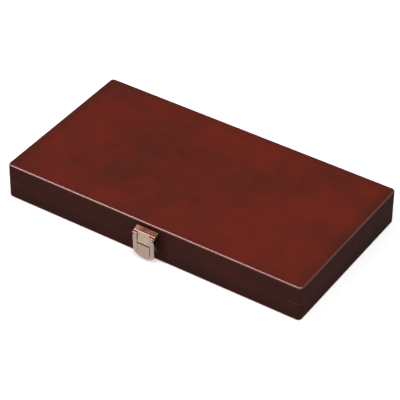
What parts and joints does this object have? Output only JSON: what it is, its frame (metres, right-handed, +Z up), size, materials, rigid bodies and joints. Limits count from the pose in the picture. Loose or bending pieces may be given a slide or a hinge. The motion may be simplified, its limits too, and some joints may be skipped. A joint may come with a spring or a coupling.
{
  "type": "folding backgammon board case",
  "caption": "Folding wooden backgammon board, closed as a flat case: two hinged halves with inlaid fields, a brass draw latch, checkers, dice and dice cups stored inside.",
  "frame": {"origin": "centre of the wooden case's underside, on the surface that it rests on", "axes": "+X along the case's long side, -Y towards the latch, +Y towards the hinges, +Z up"},
  "size_m": [0.38, 0.2156, 0.045],
  "materials": {
    "stained_wood": "mahogany stain under satin lacquer",
    "field_veneer": "satin lacquered veneer",
    "light_veneer": "satin lacquered veneer",
    "dark_veneer": "satin lacquered veneer",
    "hinge_brass": "polished, lacquered",
    "screw_brass": "satin",
    "latch_plate": "pale gold plating, satin gloss",
    "light_checker_wood": "waxed",
    "dark_checker_wood": "waxed",
    "ivory_plastic": "polished",
    "red_plastic": "polished",
    "cup_leather": "grained, satin"
  },
  "bodies": {
    "lower_half": {"lower_outer_panel": "stained_wood", "lower_front_rail": "stained_wood", "lower_back_rail": "stained_wood", "lower_left_rail": "stained_wood", "lower_right_rail": "stained_wood", "lower_divider": "stained_wood", "lower_field_board": "field_veneer", "lower_light_points": "light_veneer", "lower_dark_points": "dark_veneer", "left_hinge_lower_leaf": "hinge_brass", "left_hinge_pin": "hinge_brass", "right_hinge_lower_leaf": "hinge_brass", "right_hinge_pin": "hinge_brass", "hinge_screws_lower": "screw_brass", "latch_base": "latch_plate", "latch_rivets": "latch_plate", "latch_base_screws": "screw_brass", "light_checkers": "light_checker_wood", "dark_checkers": "dark_checker_wood", "light_dice": "ivory_plastic", "dark_dice": "red_plastic", "doubling_cube": "ivory_plastic", "left_dice_cup": "cup_leather", "right_dice_cup": "cup_leather"},
    "upper_half": {"upper_outer_panel": "stained_wood", "upper_front_rail": "stained_wood", "upper_back_rail": "stained_wood", "upper_left_rail": "stained_wood", "upper_right_rail": "stained_wood", "upper_divider": "stained_wood", "upper_field_board": "field_veneer", "upper_light_points": "light_veneer", "upper_dark_points": "dark_veneer", "left_hinge_upper_leaf": "hinge_brass", "right_hinge_upper_leaf": "hinge_brass", "hinge_screws_upper": "screw_brass", "latch_keeper": "latch_plate", "latch_keeper_screws": "screw_brass"},
    "latch_lever": {"latch_lever": "latch_plate", "latch_tongue_pin": "latch_plate"},
    "latch_tongue": {"latch_tongue": "latch_plate"}
  },
  "joints": [
    {"name": "lid_hinge", "type": "hinge", "parent": "lower_half", "child": "upper_half", "pos_m": [0, 0.1015, 0.0225], "axis": [-1, 0, 0], "range_deg": [0, 180]},
    {"name": "latch_lever_swing", "type": "hinge", "parent": "lower_half", "child": "latch_lever", "pos_m": [0, -0.1104, 0.035], "axis": [-1, 0, 0], "range_deg": [0, 135]},
    {"name": "latch_tongue_swing", "type": "hinge", "parent": "latch_lever", "child": "latch_tongue", "pos_m": [0, -0.11042, 0.02458], "axis": [-1, 0, 0], "range_deg": [-135, 0]}
  ],
  "couplings": [
    {"joint": "latch_tongue_swing", "follows": "latch_lever_swing", "ratio": -1}
  ]
}
